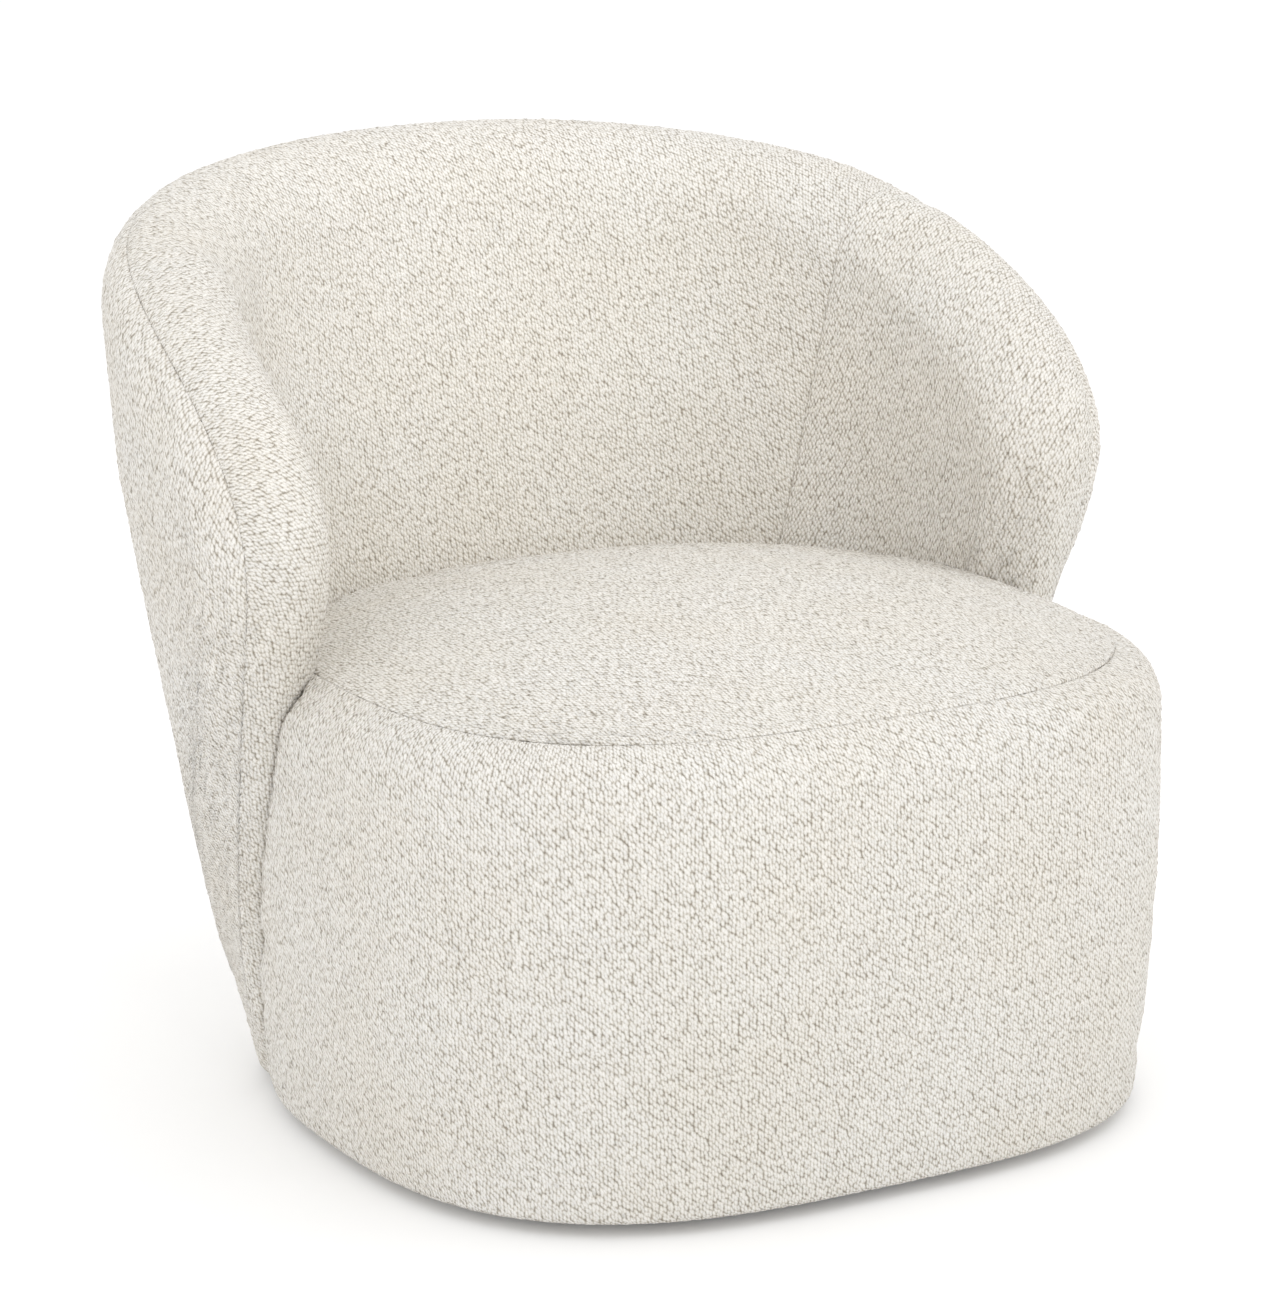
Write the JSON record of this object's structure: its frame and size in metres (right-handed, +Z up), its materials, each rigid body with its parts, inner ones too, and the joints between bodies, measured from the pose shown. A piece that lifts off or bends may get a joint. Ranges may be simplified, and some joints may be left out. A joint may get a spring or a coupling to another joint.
{
  "type": "swivel tub armchair",
  "caption": "Upholstered swivel tub armchair: a rounded seat box held by a wrap-around back that flares into low arms, on a hidden disc base",
  "frame": {"origin": "on the floor under the middle of the chair's bounding box", "axes": "+Z up, the sitter faces -Y, +X is the sitter's left"},
  "size_m": [0.818, 0.8027, 0.729],
  "materials": {
    "boucle": "cream looped wool-blend boucle, matt",
    "foam": null,
    "plywood": "birch plywood, unfinished",
    "fibreboard": null,
    "black_board": "black-stained board",
    "zinc_steel": "zinc-plated steel",
    "spring_steel": "oil-tempered spring wire",
    "black_cloth": "non-woven black dust cloth",
    "felt": "pressed felt",
    "nylon": "nylon cage with its balls"
  },
  "bodies": {
    "base": {"glide_1": "felt", "glide_2": "felt", "glide_3": "felt", "glide_4": "felt", "base_disc": "black_board", "swivel_lower_plate": "zinc_steel", "lower_plate_screw_1": "zinc_steel", "lower_plate_screw_2": "zinc_steel", "lower_plate_screw_3": "zinc_steel", "lower_plate_screw_4": "zinc_steel"},
    "bearing_cage": {"ball_cage": "nylon"},
    "seat": {"swivel_pivot": "zinc_steel", "swivel_upper_plate": "zinc_steel", "upper_plate_bolt_1": "zinc_steel", "upper_plate_bolt_2": "zinc_steel", "upper_plate_bolt_3": "zinc_steel", "upper_plate_bolt_4": "zinc_steel", "bottom_board": "plywood", "front_panel": "plywood", "side_panel_left": "plywood", "side_panel_right": "plywood", "rear_post_right": "plywood", "rear_post_left": "plywood", "spring_deck": "plywood", "seat_spring_1": "spring_steel", "seat_spring_2": "spring_steel", "seat_spring_3": "spring_steel", "seat_spring_4": "spring_steel", "spring_felt": "felt", "seat_foam": "foam", "seat_side_foam": "foam", "seat_side_cover": "boucle", "seat_top_cover": "boucle", "dust_cover": "black_cloth", "hem_rail": "plywood", "deck_rail": "plywood", "arm_rail": "plywood", "top_rail": "plywood", "lower_post_1": "plywood", "lower_post_2": "plywood", "lower_post_3": "plywood", "middle_post_1": "plywood", "middle_post_2": "plywood", "middle_post_3": "plywood", "middle_post_4": "plywood", "upper_post_1": "plywood", "upper_post_2": "plywood", "outer_board": "fibreboard", "inner_board": "fibreboard", "inner_back_foam": "foam", "outer_foam_right": "foam", "rim_foam_right": "foam", "outer_foam_back": "foam", "rim_foam_back": "foam", "outer_foam_left": "foam", "rim_foam_left": "foam", "outer_back_cover": "boucle", "inner_wing_cover_right": "boucle", "inner_back_cover": "boucle", "inner_wing_cover_left": "boucle"}
  },
  "joints": [
    {"name": "seat_swivel", "type": "hinge", "parent": "base", "child": "seat", "pos_m": [0, -0.08, 0.027], "axis": [0, 0, 1], "continuous": true},
    {"name": "cage_turn", "type": "hinge", "parent": "base", "child": "bearing_cage", "pos_m": [0, -0.08, 0.027], "axis": [0, 0, 1], "continuous": true}
  ],
  "couplings": [
    {"joint": "cage_turn", "follows": "seat_swivel", "ratio": 0.5}
  ]
}
